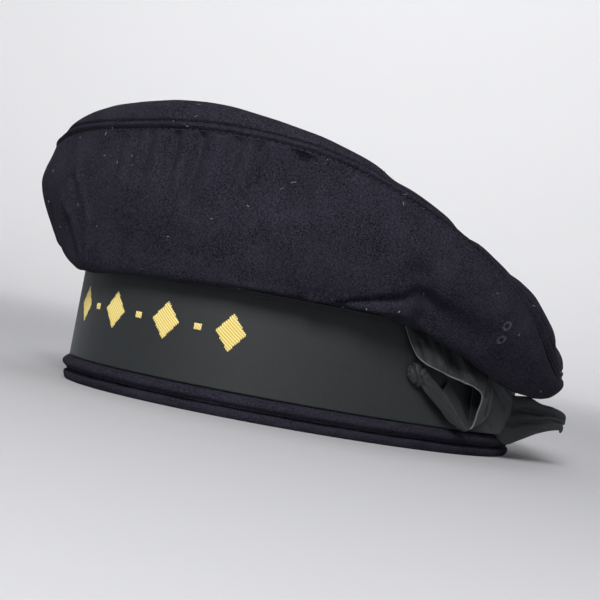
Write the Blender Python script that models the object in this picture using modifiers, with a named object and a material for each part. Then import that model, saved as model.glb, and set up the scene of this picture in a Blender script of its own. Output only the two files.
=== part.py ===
"""Sailor cap: a soft wool crown on a band, with a ribbon tied in a bow at the wearer's left.

The front faces -Y, the wearer's left is +X, and the rim stands on Z = 0. Angles are in
degrees, from the front towards the wearer's left. Lengths are in metres.
"""

import math

import bmesh
import bpy
import numpy as np
from mathutils import Vector

# Cloth and ribbon
CLOTH = 0.0020
RIBBON_THICKNESS = 0.0008
CLEARANCE = 0.0003

# Headband, whose outer face is an ellipse
BAND_LENGTH = 0.204
BAND_WIDTH = 0.165

# Rim: a turned-in hem below, and a roll of cloth above it
HEM_HEIGHT = 0.0040
HEM_DEPTH = 0.0040
WELT_HEIGHT = 0.0048
WELT_DEPTH = 0.0030
# Half the foot's width, as a share of HEM_DEPTH; where the hem is fullest, as shares of
# HEM_HEIGHT; and how round the welt's corners are, as a share of WELT_HEIGHT
HEM_FOOT = 0.28
HEM_FULL_FROM = 0.35
HEM_FULL_TO = 0.70
WELT_CORNER = 0.25

# Ribbon round the band
RIBBON_WIDTH = 0.038

# Crown: how far it stands out past the band, and how high its front seam is above the join
CROWN_OVERHANG = 0.030
CROWN_RISE = 0.056
EDGE_ROLL = 0.006

# Bow
BOW_DEPTH = 0.010
KNOT_WIDTH = 0.0070
KNOT_HEIGHT = 0.0085
KNOT_DEPTH = 0.0042
# Where the knot lies: its angle, and its middle as a share of RIBBON_WIDTH. Its corners are
# rounded by a share of KNOT_DEPTH.
KNOT_ANGLE = 71.0
KNOT_MIDDLE = 0.42
KNOT_SOFTNESS = 0.30
TAIL_REACH = 0.022

# Stitched eyelets
EYELET_DIAMETER = 0.0042
EYELET_THREAD = 0.0007

# How finely the cloth is divided
AROUND = 72
SIDE_STEPS = 12

# Heights that follow from the sizes above
WELT_BASE = HEM_HEIGHT + CLEARANCE
RIBBON_BASE = WELT_BASE + WELT_HEIGHT + CLEARANCE
RIBBON_TOP = RIBBON_BASE + RIBBON_WIDTH
JOIN_HEIGHT = RIBBON_TOP + CLEARANCE

# The crown's sections. Outs are shares of CROWN_OVERHANG, measured from the band's outer face;
# heights are shares of CROWN_RISE above the join; shoulder_in and shoulder_rise are shares of
# EDGE_ROLL, measured from the seam.
CROWN_COLUMNS = ("angle", "under_out", "under_height", "wide_out", "wide_height",
                 "seam_out", "seam_height", "shoulder_in", "shoulder_rise")
CROWN_SECTIONS = (
    (-160, 0.30, -0.20, 0.62, -0.04, 0.58, 0.06, 2.25, 1.58),
    (-140, 0.38, -0.13, 0.76, 0.05, 0.71, 0.16, 1.65, 1.46),
    (-120, 0.40, -0.09, 0.94, 0.15, 0.89, 0.24, 1.4, 1.63),
    (-90, 0.44, 0.01, 1.06, 0.27, 1.01, 0.45, 1.3, 1.43),
    (-65, 0.38, 0.04, 1.02, 0.38, 0.95, 0.62, 1.4, 1.13),
    (-41, 0.41, 0.07, 0.87, 0.47, 0.78, 0.74, 1.6, 0.68),
    (-20, 0.34, 0.08, 0.67, 0.49, 0.58, 0.84, 1.3, 1.18),
    (0, 0.30, 0.08, 0.58, 0.49, 0.50, 0.90, 1.1, 1.63),
    (20, 0.34, 0.06, 0.65, 0.51, 0.60, 0.95, 0.9, 1.53),
    (40, 0.42, 0.03, 0.82, 0.42, 0.78, 0.895, 0.9, 1.03),
    (60, 0.56, 0.01, 0.97, 0.24, 0.93, 0.675, 0.8, 0.63),
    (75, 0.65, -0.08, 1.00, 0.08, 0.97, 0.44, 0.7, 0.73),
    (90, 0.65, -0.24, 0.97, -0.06, 0.95, 0.16, 1.0, 1.63),
    (100, 0.60, -0.33, 0.91, -0.20, 0.89, -0.05, 1.4, 2.13),
    (110, 0.55, -0.37, 0.81, -0.27, 0.79, -0.17, 1.8, 2.43),
    (122, 0.42, -0.37, 0.71, -0.28, 0.69, -0.20, 2.3, 2.60),
    (140, 0.33, -0.37, 0.62, -0.27, 0.60, -0.18, 2.7, 2.48),
    (160, 0.30, -0.34, 0.60, -0.23, 0.57, -0.12, 3.1, 2.20),
    (180, 0.29, -0.28, 0.60, -0.15, 0.56, -0.04, 2.8, 1.80),
)

# Soft dents in the crown's side. Height is a share of the way from the join to the seam, and
# depth a share of DENT_DEPTH.
DENT_DEPTH = 0.0028
DENT_COLUMNS = ("angle", "height", "angle_spread", "height_spread", "depth")
DENTS = (
    (-4, 0.80, 3.5, 0.22, 0.43),
    (12, 0.78, 3.0, 0.25, 0.46),
    (21, 0.80, 3.0, 0.22, 0.36),
    (32, 0.72, 6.0, 0.22, 0.79),
    (49, 0.55, 8.0, 0.22, 1.00),
    (-30, 0.45, 5.0, 0.30, 0.50),
    (68, 0.50, 7.0, 0.20, 0.64),
    (-75, 0.55, 9.0, 0.25, 0.89),
    (-112, 0.50, 8.0, 0.25, 0.89),
)

# The top cloth: how far its middle swells, and shares of the way from its shoulder to its middle
TOP_SWELL = 0.004
TOP_RINGS = (0.06, 0.16, 0.32, 0.50, 0.68, 0.86)

# Bow strips. One row for each section: the two edges' angles, outs and heights. Outs are shares
# of BOW_DEPTH from the ribbon's face, heights shares of RIBBON_WIDTH above the ribbon's base.
STRIP_COLUMNS = ("angle_a", "out_a", "height_a", "angle_b", "out_b", "height_b")
LOOP_SECTIONS = (
    (65.0, 0.09, 0.95, 66.5, 0.08, 0.97),
    (67.0, 0.20, 0.80, 69.5, 0.12, 0.97),
    (69.0, 0.42, 0.67, 72.0, 0.22, 0.97),
    (71.5, 0.60, 0.61, 75.0, 0.30, 0.96),
    (75.0, 0.72, 0.57, 77.5, 0.28, 0.94),
    (79.0, 0.78, 0.53, 80.0, 0.16, 0.92),
    (83.0, 0.88, 0.50, 84.5, 0.34, 0.87),
    (87.5, 0.92, 0.46, 89.5, 0.46, 0.80),
    (90.5, 0.88, 0.41, 94.0, 0.50, 0.70),
    (92.0, 0.76, 0.33, 97.0, 0.46, 0.58),
    (92.5, 0.58, 0.21, 97.5, 0.36, 0.46),
    (91.5, 0.38, 0.11, 96.0, 0.26, 0.38),
    (87.5, 0.26, 0.12, 92.0, 0.20, 0.40),
    (82.5, 0.20, 0.20, 86.5, 0.17, 0.48),
    (78.0, 0.18, 0.30, 81.0, 0.16, 0.54),
)
FRONT_TAIL_SECTIONS = (
    (75.5, 0.34, 0.34, 77.0, 0.30, 0.43),
    (78.5, 0.38, 0.25, 80.5, 0.34, 0.36),
    (82.0, 0.42, 0.16, 84.0, 0.36, 0.28),
    (85.5, 0.50, 0.07, 87.5, 0.42, 0.17),
    (88.5, 0.62, 0.01, 89.5, 0.50, 0.07),
)
# The back tail's outs past the ribbon are shares of TAIL_REACH
BACK_TAIL_SECTIONS = (
    (98.5, 0.03, 0.04, 98.5, 0.03, 0.62),
    (104.0, 0.03, 0.04, 104.0, 0.03, 0.60),
    (109.0, 0.07, 0.04, 109.0, 0.07, 0.55),
    (113.5, 0.22, 0.05, 113.0, 0.20, 0.48),
    (117.5, 0.44, 0.10, 117.0, 0.42, 0.42),
    (121.0, 0.68, 0.14, 120.5, 0.64, 0.39),
    (123.5, 0.88, 0.16, 123.0, 0.84, 0.38),
    (125.5, 1.00, 0.13, 124.5, 0.98, 0.32),
)

# Where the eyelets lie on the crown's side: angle, and share of the way from join to seam
EYELETS = {"eyelet_lower": (80.0, 0.64), "eyelet_upper": (81.0, 0.76)}


def band_radius(angle):
    """Distance from the axis to the headband's outer face."""
    side = math.sin(math.radians(angle)) / (BAND_WIDTH / 2)
    front = math.cos(math.radians(angle)) / (BAND_LENGTH / 2)
    return 1 / math.hypot(side, front)


def place(angle, out, height):
    """A point at an angle round the cap, a distance out from the headband's outer face."""
    radius = band_radius(angle) + out
    turn = math.radians(angle)
    return Vector((radius * math.sin(turn), -radius * math.cos(turn), height))


def smooth_value(positions, values, position):
    """Value at a position on the smooth curve through (position, value) pairs."""
    i = int(np.clip(np.searchsorted(positions, position, side="right") - 1, 0, len(positions) - 2))
    span = positions[i + 1] - positions[i]
    t = (position - positions[i]) / span
    before = max(i - 1, 0)
    after = min(i + 2, len(positions) - 1)
    slope_in = (values[i + 1] - values[before]) / (positions[i + 1] - positions[before]) * span
    slope_out = (values[after] - values[i]) / (positions[after] - positions[i]) * span
    rise = values[i + 1] - values[i]
    bend = slope_in + slope_out - 2 * rise
    return values[i] + t * (slope_in + t * (rise - slope_in - bend + t * bend))


def crown_section(angle):
    """The crown's table read at any angle, as a dictionary of its columns."""
    rows = np.array(CROWN_SECTIONS, dtype=float)
    turn = np.zeros(rows.shape[1])
    turn[0] = 360
    rows = np.vstack((rows[-2:] - turn, rows, rows[:2] + turn))
    wrapped = (angle + 180) % 360 - 180
    return {
        name: smooth_value(rows[:, 0], rows[:, column], wrapped)
        for column, name in enumerate(CROWN_COLUMNS)
    }


def side_profile(angle):
    """Out and height of the crown's side, from the ribbon's upper edge to the seam."""
    row = crown_section(angle)
    past_ribbon = RIBBON_THICKNESS + 2 * CLEARANCE
    under_out = CLEARANCE + CLOTH + row["under_out"] * CROWN_OVERHANG
    under_height = JOIN_HEIGHT + row["under_height"] * CROWN_RISE
    return np.array((
        (past_ribbon, JOIN_HEIGHT),
        ((past_ribbon + under_out) / 2, JOIN_HEIGHT + (under_height - JOIN_HEIGHT) / 4),
        (under_out, under_height),
        (row["wide_out"] * CROWN_OVERHANG, JOIN_HEIGHT + row["wide_height"] * CROWN_RISE),
        (row["seam_out"] * CROWN_OVERHANG, JOIN_HEIGHT + row["seam_height"] * CROWN_RISE),
    ))


def side_line(angle, shares):
    """Outs and heights down the crown's side at one angle, with its dents."""
    profile = side_profile(angle)
    steps = np.hypot(*np.diff(profile, axis=0).T)
    along = np.concatenate(((0,), np.cumsum(steps))) / steps.sum()
    line = []
    for share in shares:
        out = smooth_value(along, profile[:, 0], share)
        height = smooth_value(along, profile[:, 1], share)
        for row in DENTS:
            dent = dict(zip(DENT_COLUMNS, row))
            turn = (angle - dent["angle"] + 180) % 360 - 180
            rise = share - dent["height"]
            reach = (turn / dent["angle_spread"]) ** 2 + (rise / dent["height_spread"]) ** 2
            out -= dent["depth"] * DENT_DEPTH * math.exp(-reach)
        line.append((out, height))
    return np.array(line)


def top_edge(angle):
    """Outs and heights of the top cloth's rolled edge, from just above the seam to its shoulder."""
    row = crown_section(angle)
    seam_out, seam_height = side_line(angle, (1.0,))[0]
    line = []
    for turned in (0, 30, 60, 90):
        swing = math.radians(turned)
        line.append((
            seam_out - row["shoulder_in"] * EDGE_ROLL * (1 - math.cos(swing)),
            seam_height + CLEARANCE + row["shoulder_rise"] * EDGE_ROLL * math.sin(swing),
        ))
    return line


def top_plane(angles):
    """Height at the axis and slopes of the plane that best fits the top's shoulder."""
    shoulder = np.array([place(angle, *top_edge(angle)[-1]) for angle in angles])
    flat = np.column_stack((np.ones(len(shoulder)), shoulder[:, :2]))
    return np.linalg.lstsq(flat, shoulder[:, 2], rcond=None)[0]


def top_line(angle, plane):
    """Outs and heights of the top cloth at one angle, from just above the seam inwards.

    The cloth swells a little off the plane, and the shoulder's ups and downs fade inwards.
    """
    line = top_edge(angle)
    out, height = line[-1]
    shoulder = place(angle, out, height)
    standing = height - plane @ (1, shoulder.x, shoulder.y)
    for share in TOP_RINGS:
        left = 1 - share
        level = plane @ (1, shoulder.x * left, shoulder.y * left)
        swell = TOP_SWELL * (1 - left ** 2)
        line.append((shoulder.xy.length * left - band_radius(angle), level + standing * left ** 2 + swell))
    return np.array(line)


def inner_line(line, level_end):
    """The cloth's inner face: each point moved square to the line by the cloth's thickness.

    The line runs with the cloth's inside on its left. The end at the seam moves level, so that the two cloths that meet there stay apart.
    """
    run = np.gradient(line, axis=0)
    run /= np.hypot(run[:, 0], run[:, 1])[:, None]
    square = np.column_stack((-run[:, 1], run[:, 0]))
    square[level_end] = (-1, 0)
    return line + square * CLOTH




def new_object(name, mesh, material):
    """Link a mesh as one named piece of the cap."""
    mesh.materials.append(material)
    piece = bpy.data.objects.new(name, mesh)
    parts.objects.link(piece)
    return piece


def loft(name, sections, material, closed_round=True, closed_section=False):
    """Join equal sections of points, one after the other, with four-sided faces.

    A shape that runs all the way round has its open ends, if any, closed at the middle.
    """
    shape = bmesh.new()
    rows = [[shape.verts.new(point) for point in section] for section in sections]
    count = len(rows)
    size = len(rows[0])
    for i in range(count if closed_round else count - 1):
        here = rows[i]
        after = rows[(i + 1) % count]
        for j in range(size if closed_section else size - 1):
            k = (j + 1) % size
            shape.faces.new((here[j], after[j], after[k], here[k]))
    if closed_round:
        open_edges = [edge for edge in shape.edges if edge.is_boundary]
        caps = bmesh.ops.holes_fill(shape, edges=open_edges, sides=0)["faces"]
        bmesh.ops.poke(shape, faces=caps)
        bmesh.ops.recalc_face_normals(shape, faces=shape.faces)
    bmesh.ops.triangulate(shape, faces=shape.faces)
    mesh = bpy.data.meshes.new(name)
    shape.to_mesh(mesh)
    shape.free()
    mesh.shade_smooth()
    return new_object(name, mesh, material)


def ring(name, profile, material):
    """Sweep a closed profile of (out, height) points round the band."""
    angles = [360 * i / AROUND for i in range(AROUND)]
    sections = [[place(angle, out, height) for out, height in profile] for angle in angles]
    piece = loft(name, sections, material, closed_section=True)
    piece.data.set_sharp_from_angle(angle=math.radians(50))
    return piece


def cloth_material(name, colour, roughness):
    """A Principled BSDF in a cloth's colour."""
    material = bpy.data.materials.new(name)
    material.use_nodes = True
    shader = material.node_tree.nodes["Principled BSDF"]
    shader.inputs["Base Color"].default_value = (*colour, 1)
    shader.inputs["Roughness"].default_value = roughness
    shader.inputs["Metallic"].default_value = 0
    material.diffuse_color = (*colour, 1)
    return material


def make_headband():
    """The wool band, whose lower edge is turned in as a soft hem with a flat foot."""
    inner = -CLOTH
    hem_out = HEM_DEPTH - CLOTH
    middle = (inner + hem_out) / 2
    foot = HEM_DEPTH * HEM_FOOT
    profile = (
        (middle - foot, 0),
        (middle + foot, 0),
        (hem_out, HEM_HEIGHT * HEM_FULL_FROM),
        (hem_out, HEM_HEIGHT * HEM_FULL_TO),
        (0, HEM_HEIGHT),
        (0, JOIN_HEIGHT + CLOTH),
        (inner, JOIN_HEIGHT + CLOTH),
        (inner, HEM_HEIGHT * HEM_FULL_FROM),
    )
    return ring("headband", profile, wool)


def make_welt():
    """The upper roll of the rim, proud of the ribbon."""
    corner = WELT_HEIGHT * WELT_CORNER
    inner = CLEARANCE
    outer = CLEARANCE + WELT_DEPTH
    top = WELT_BASE + WELT_HEIGHT
    profile = (
        (inner, WELT_BASE + corner),
        (inner + corner, WELT_BASE),
        (outer - corner * 1.6, WELT_BASE + corner * 0.15),
        (outer, WELT_BASE + corner * 1.4),
        (outer, top - corner * 1.4),
        (outer - corner * 1.4, top - corner * 0.1),
        (inner, top),
    )
    return ring("band_welt", profile, wool)


def make_ribbon():
    """The flat ribbon, from the roll of the rim up to the join."""
    inner = CLEARANCE
    outer = CLEARANCE + RIBBON_THICKNESS
    profile = ((inner, RIBBON_BASE), (outer, RIBBON_BASE), (outer, RIBBON_TOP), (inner, RIBBON_TOP))
    return ring("hat_ribbon", profile, silk)


def make_crown_side():
    """The side cloth: from the headband over the ribbon's edge, round and up to the seam."""
    join = (CLEARANCE, JOIN_HEIGHT)
    shares = [i / SIDE_STEPS for i in range(SIDE_STEPS + 1)]
    sections = []
    for angle in [360 * i / AROUND for i in range(AROUND)]:
        outer = np.vstack((join, side_line(angle, shares)))
        wall = np.vstack((outer, inner_line(outer, -1)[::-1]))
        sections.append([place(angle, *point) for point in wall])
    return loft("crown_side", sections, wool, closed_section=True)


def make_crown_top():
    """The round top cloth, closed at its middle."""
    angles = [360 * i / AROUND for i in range(AROUND)]
    plane = top_plane(angles)
    sections = []
    for angle in angles:
        outer = top_line(angle, plane)
        wall = np.vstack((outer[::-1], inner_line(outer, 0)))
        sections.append([place(angle, *point) for point in wall])
    return loft("crown_top", sections, wool)


def strip_point(angle, out, height, depth):
    """A point of the bow, out from the ribbon's face and up from the ribbon's base."""
    face = CLEARANCE + RIBBON_THICKNESS
    return place(angle, face + out * depth, RIBBON_BASE + height * RIBBON_WIDTH)


def make_strip(name, rows, depth):
    """A length of ribbon through its sections, each a straight line between the two edges."""
    sections = []
    for row in rows:
        value = dict(zip(STRIP_COLUMNS, row))
        edge_a = strip_point(value["angle_a"], value["out_a"], value["height_a"], depth)
        edge_b = strip_point(value["angle_b"], value["out_b"], value["height_b"], depth)
        sections.append([edge_a, edge_a.lerp(edge_b, 0.5), edge_b])
    piece = loft(name, sections, silk, closed_round=False)
    wall = piece.modifiers.new("ribbon thickness", "SOLIDIFY")
    wall.thickness = RIBBON_THICKNESS
    wall.offset = 0
    return piece


def make_knot():
    """The bow's small knot, a soft block that lies on the ribbon."""
    out = CLEARANCE * 2 + RIBBON_THICKNESS + KNOT_DEPTH / 2
    centre = place(KNOT_ANGLE, out, RIBBON_BASE + RIBBON_WIDTH * KNOT_MIDDLE)
    turn = (0, 0, math.radians(KNOT_ANGLE))
    bpy.ops.mesh.primitive_cube_add(size=1, location=centre, rotation=turn)
    piece = bpy.context.object
    piece.name = "bow_knot"
    piece.data.name = "bow_knot"
    piece.scale = (KNOT_WIDTH, KNOT_DEPTH, KNOT_HEIGHT)
    bpy.ops.object.transform_apply(location=False, rotation=False, scale=True)
    soft = piece.modifiers.new("soft corners", "BEVEL")
    soft.width = KNOT_DEPTH * KNOT_SOFTNESS
    soft.segments = 2
    piece.data.materials.append(silk)
    return piece


def make_eyelet(name, angle, share):
    """A ring of stitching that lies on the crown's side."""
    step = 0.02
    centre, above = [place(angle, *point) for point in side_line(angle, (share, share + step))]
    beside = place(angle + 1, *side_line(angle + 1, (share,))[0])
    up = (above - centre).normalized()
    across = (beside - centre).normalized()
    normal = across.cross(up).normalized()
    lift = EYELET_THREAD / 2 + CLEARANCE
    bpy.ops.mesh.primitive_torus_add(
        major_radius=(EYELET_DIAMETER - EYELET_THREAD) / 2,
        minor_radius=EYELET_THREAD / 2,
        major_segments=14,
        minor_segments=6,
        location=centre + normal * lift,
        rotation=normal.to_track_quat("Z", "Y").to_euler(),
    )
    piece = bpy.context.object
    piece.name = name
    piece.data.name = name
    piece.data.materials.append(thread)
    piece.data.shade_smooth()
    return piece


def stand_over_origin():
    """Move the whole cap so that the middle of its outline stands over the origin."""
    graph = bpy.context.evaluated_depsgraph_get()
    corners = np.array([
        piece.matrix_world @ Vector(corner)
        for piece in parts.objects
        for corner in piece.evaluated_get(graph).bound_box
    ])
    middle = (corners.min(axis=0) + corners.max(axis=0)) / 2
    for piece in parts.objects:
        piece.location.x -= middle[0]
        piece.location.y -= middle[1]


for old in list(bpy.data.objects):
    bpy.data.objects.remove(old, do_unlink=True)

parts = bpy.data.collections.new("sailor_cap")
bpy.context.scene.collection.children.link(parts)
view_layer = bpy.context.view_layer
view_layer.active_layer_collection = view_layer.layer_collection.children[parts.name]

wool = cloth_material("navy_wool", (0.0105, 0.0098, 0.0190), 0.95)
silk = cloth_material("black_ribbon", (0.0200, 0.0220, 0.0230), 0.55)
thread = cloth_material("navy_thread", (0.0300, 0.0300, 0.0420), 0.80)

make_headband()
make_welt()
make_ribbon()
make_crown_side()
make_crown_top()
make_strip("bow_loop", LOOP_SECTIONS, BOW_DEPTH)
make_strip("bow_tail_front", FRONT_TAIL_SECTIONS, BOW_DEPTH)
make_strip("bow_tail_back", BACK_TAIL_SECTIONS, TAIL_REACH)
make_knot()
for eyelet_name, (eyelet_angle, eyelet_share) in EYELETS.items():
    make_eyelet(eyelet_name, eyelet_angle, eyelet_share)
stand_over_origin()
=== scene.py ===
import math

import bmesh
import bpy
import numpy as np
from mathutils import Matrix, Vector, noise


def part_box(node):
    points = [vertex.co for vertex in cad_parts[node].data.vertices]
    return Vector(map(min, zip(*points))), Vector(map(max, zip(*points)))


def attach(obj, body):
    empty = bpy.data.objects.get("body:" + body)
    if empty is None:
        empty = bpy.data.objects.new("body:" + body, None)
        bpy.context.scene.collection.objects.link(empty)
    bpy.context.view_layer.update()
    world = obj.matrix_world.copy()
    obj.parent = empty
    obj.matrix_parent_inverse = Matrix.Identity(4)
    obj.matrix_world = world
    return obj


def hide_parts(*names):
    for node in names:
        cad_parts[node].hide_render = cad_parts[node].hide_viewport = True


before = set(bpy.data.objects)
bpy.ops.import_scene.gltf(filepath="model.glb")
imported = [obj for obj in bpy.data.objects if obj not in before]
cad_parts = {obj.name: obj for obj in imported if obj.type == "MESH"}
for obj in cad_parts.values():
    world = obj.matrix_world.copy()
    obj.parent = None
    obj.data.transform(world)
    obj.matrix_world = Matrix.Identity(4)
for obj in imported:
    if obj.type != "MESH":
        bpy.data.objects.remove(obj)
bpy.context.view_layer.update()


# Headband. The cap's foot is a tube of melton wool, whose lower edge is turned in as a soft
# hem. The felted cloth is thick and matt, with a short nap.
low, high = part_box("headband")
AXIS = (low + high) / 2
CAD_COLUMNS = 72
COLUMNS = 576
SAME_POINT = 0.000001
SAME_RADIUS = 0.00002
NEAR_AXIS = 0.002
HEM_LUMPS = 0.00035
HEM_LUMP_SIZE = 0.006
HEM_LUMPS_FROM, HEM_LUMPS_RISE = 0.0006, 0.0012
HEM_LUMPS_TO, HEM_LUMPS_FADE = 0.006, 0.002


def linear(code):
    """An sRGB hex colour as linear values."""
    values = [int(code[i:i + 2], 16) / 255 for i in (1, 3, 5)]
    return [v / 12.92 if v <= 0.04045 else ((v + 0.055) / 1.055) ** 2.4 for v in values] + [1]


def add_node(material, kind, inputs, **settings):
    """Add a node to a material. Each input is a socket to link from, or a plain value."""
    node = material.node_tree.nodes.new(kind)
    for name, value in settings.items():
        setattr(node, name, value)
    for name, value in inputs.items():
        if isinstance(value, bpy.types.NodeSocket):
            material.node_tree.links.new(value, node.inputs[name])
        else:
            node.inputs[name].default_value = value
    return node


def new_material(name, roughness, sheen, sheen_colour, specular):
    """A material with its shader, and the shader's constant values."""
    material = bpy.data.materials.new(name)
    material.use_nodes = True
    shader = material.node_tree.nodes["Principled BSDF"]
    shader.inputs["Roughness"].default_value = roughness
    shader.inputs["Sheen Weight"].default_value = sheen
    shader.inputs["Sheen Roughness"].default_value = 0.45
    shader.inputs["Sheen Tint"].default_value = linear(sheen_colour)
    shader.inputs["Specular IOR Level"].default_value = specular
    return material, shader


def angles_round(points):
    """Degrees of points round the cap, from its front towards the wearer's left."""
    return np.degrees(np.arctan2(points[..., 0] - AXIS.x, AXIS.y - points[..., 1]))


def distances_out(points):
    """Distances of points from the cap's upright axis."""
    return np.hypot(points[..., 0] - AXIS.x, points[..., 1] - AXIS.y)


def cloth_sections(node):
    """The cuts through a CAD cloth round the cap, each an ordered line of points.

    A closed cut starts at its lowest point nearest to the axis, and runs outwards first. An
    open one starts at its upper end.
    """
    shape = bmesh.new()
    shape.from_mesh(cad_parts[node].data)
    bmesh.ops.remove_doubles(shape, verts=shape.verts, dist=SAME_POINT)
    columns = {}
    for vert in shape.verts:
        across = Vector((vert.co.x - AXIS.x, vert.co.y - AXIS.y))
        if across.length > NEAR_AXIS:
            turn = math.degrees(math.atan2(across.x, -across.y))
            columns[vert] = round(turn / 360 * CAD_COLUMNS) % CAD_COLUMNS

    def radius(vert):
        return math.hypot(vert.co.x - AXIS.x, vert.co.y - AXIS.y)

    lines = []
    for column in range(CAD_COLUMNS):
        members = [vert for vert in columns if columns[vert] == column]
        beside = {
            vert: [
                edge.other_vert(vert)
                for edge in vert.link_edges
                if columns.get(edge.other_vert(vert)) == column
            ]
            for vert in members
        }
        ends = [vert for vert in members if len(beside[vert]) == 1]
        if ends:
            line = [max(ends, key=lambda vert: vert.co.z)]
        else:
            nearest = min(radius(vert) for vert in members) + SAME_RADIUS
            start = min((v for v in members if radius(v) < nearest), key=lambda v: v.co.z)
            line = [start, max(beside[start], key=radius)]
        while len(line) < len(members):
            line.append(next(vert for vert in beside[line[-1]] if vert not in line))
        lines.append([vert.co[:] for vert in line])
    shape.free()

    # The CAD leaves out a point midway between its neighbours, so it is put back.
    full = max(len(line) for line in lines)
    for column, line in enumerate(lines):
        last = lines[column - 1]
        while len(line) < full:
            middles = [np.add(a, b) / 2 for a, b in zip(line, line[1:])]
            tries = [line[:k + 1] + [middle] + line[k + 1:] for k, middle in enumerate(middles)]
            line = min(tries, key=lambda points: np.abs(np.subtract(points, last)).sum())
        lines[column] = line
    return np.array(lines)


def smooth_along(points, places, closed):
    """Points at fractional places along an array's first axis, on a smooth curve through it.

    At each point the curve's pull is as long as the shorter step beside it, so that a long
    straight step stays straight.
    """
    count = len(points)
    step = np.roll(points, -1, axis=0) - points
    if not closed:
        step[-1] = step[-2]
    before = np.roll(step, 1, axis=0)
    if not closed:
        before[0] = step[0]
    size = np.maximum(np.linalg.norm(step, axis=-1, keepdims=True), 1e-9)
    size_before = np.maximum(np.linalg.norm(before, axis=-1, keepdims=True), 1e-9)
    way = step / size + before / size_before
    way /= np.maximum(np.linalg.norm(way, axis=-1, keepdims=True), 1e-9)
    pull = way * np.minimum(size, size_before)
    first = np.floor(places).astype(int)
    if not closed:
        first = np.clip(first, 0, count - 2)
    t = (places - first).reshape(-1, *[1] * (points.ndim - 1))
    here, after = first % count, (first + 1) % count
    near = (1 + 2 * t) * (1 - t) ** 2 * points[here] + t * (1 - t) ** 2 * pull[here]
    far = t * t * (3 - 2 * t) * points[after] - t * t * (1 - t) * pull[after]
    return near + far


def all_round(sections, columns):
    """Sections at more angles round the cap."""
    return smooth_along(sections, np.arange(columns) * len(sections) / columns, True)


def rows_along(sections, places, closed=False):
    """Sections with their points at other places along them."""
    return smooth_along(sections.swapaxes(0, 1), places, closed).swapaxes(0, 1)


def outward(grid, closed_round=True):
    """Unit normals of a grid of points, columns round the cap and rows along the cloth."""
    if closed_round:
        round_it = np.roll(grid, -1, axis=0) - np.roll(grid, 1, axis=0)
    else:
        round_it = np.gradient(grid, axis=0)
    along = np.gradient(grid, axis=1)
    normal = np.cross(round_it, along)
    return normal / np.maximum(np.linalg.norm(normal, axis=2, keepdims=True), 1e-12)


def ripple(points, size, seed=0):
    """Smooth noise from -1 to 1 at each point, whose waves are about that size."""
    shift = Vector((seed * 7.3, seed * 3.1, seed * 5.7))
    flat = points.reshape(-1, 3) / size
    return np.array([noise.noise(Vector(p) + shift) for p in flat]).reshape(points.shape[:-1])


def lengths_round(line):
    """Length gone at each point of a closed line, and at its start once more."""
    steps = np.linalg.norm(np.roll(line, -1, axis=0) - line, axis=1)
    return np.concatenate(((0,), np.cumsum(steps)))


def link_piece(name, mesh):
    """A piece of the scene, with its mesh."""
    piece = bpy.data.objects.new(name, mesh)
    bpy.context.scene.collection.objects.link(piece)
    return piece


def grid_piece(name, grid, materials, closed_round=True, closed_section=False):
    """A mesh of four-sided faces through a grid of points, with a UV map in metres.

    U runs round the cap or along the strip, and V along the rows.
    """
    columns, rows = grid.shape[:2]
    i = np.arange(columns if closed_round else columns - 1)
    j = np.arange(rows if closed_section else rows - 1)
    i, j = [x.ravel() for x in np.meshgrid(i, j, indexing="ij")]
    corners = [(i, j), (i + 1, j), (i + 1, j + 1), (i, j + 1)]
    faces = np.stack([(a % columns) * rows + b % rows for a, b in corners], axis=1)
    mesh = bpy.data.meshes.new(name)
    mesh.from_pydata(grid.reshape(-1, 3).tolist(), [], faces.tolist())
    u = lengths_round(grid[:, rows // 2])
    v = lengths_round(grid[columns // 2])
    place = np.stack([np.stack((u[a], v[b]), axis=1) for a, b in corners], axis=1)
    layer = mesh.uv_layers.new(name="cloth")
    layer.data.foreach_set("uv", place.reshape(-1).astype(np.float32))
    for material in materials:
        mesh.materials.append(material)
    mesh.shade_smooth()
    return link_piece(name, mesh)


# Melton wool: woven, then milled until the weave closes under a short nap. Its fibres give a
# fine salt-and-pepper grain, soft cloudy patches where the nap lies differently, and a very
# faint bloom at grazing angles. The grain is drawn at 0.6 mm, coarser than the real fibre.
# In a Mix node, input 0 is the share, 6 and 7 are the colours, and output 2 is the mix.
FIBRE_SIZE = 0.0006
NAP_SIZE = 0.0022
PATCH_SIZE = 0.014
WEAR_SIZE = 0.045
melton, shader = new_material("melton_wool", 0.95, 0.02, "#9ea0b4", 0.03)
place = add_node(melton, "ShaderNodeTexCoord", {}).outputs["Object"]
fibre = add_node(
    melton, "ShaderNodeTexNoise",
    {"Vector": place, "Scale": 1 / FIBRE_SIZE, "Detail": 3.0, "Roughness": 0.80},
)
patches = add_node(
    melton, "ShaderNodeTexNoise",
    {"Vector": place, "Scale": 1 / PATCH_SIZE, "Detail": 4.0, "Roughness": 0.60},
)
patches = add_node(
    melton, "ShaderNodeMapRange",
    {"Value": patches.outputs["Fac"], "From Min": 0.34, "From Max": 0.66},
)
wear = add_node(
    melton, "ShaderNodeTexNoise", {"Vector": place, "Scale": 1 / WEAR_SIZE, "Detail": 2.0},
)
grain = add_node(
    melton, "ShaderNodeMapRange",
    {"Value": fibre.outputs["Fac"], "From Min": 0.40, "From Max": 0.68},
)
fleck = add_node(
    melton, "ShaderNodeMapRange",
    {"Value": fibre.outputs["Fac"], "From Min": 0.70, "From Max": 0.80},
)
tone = add_node(
    melton, "ShaderNodeMix",
    {0: patches.outputs[0], 6: linear("#030305"), 7: linear("#24232b")}, data_type="RGBA",
)
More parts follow.
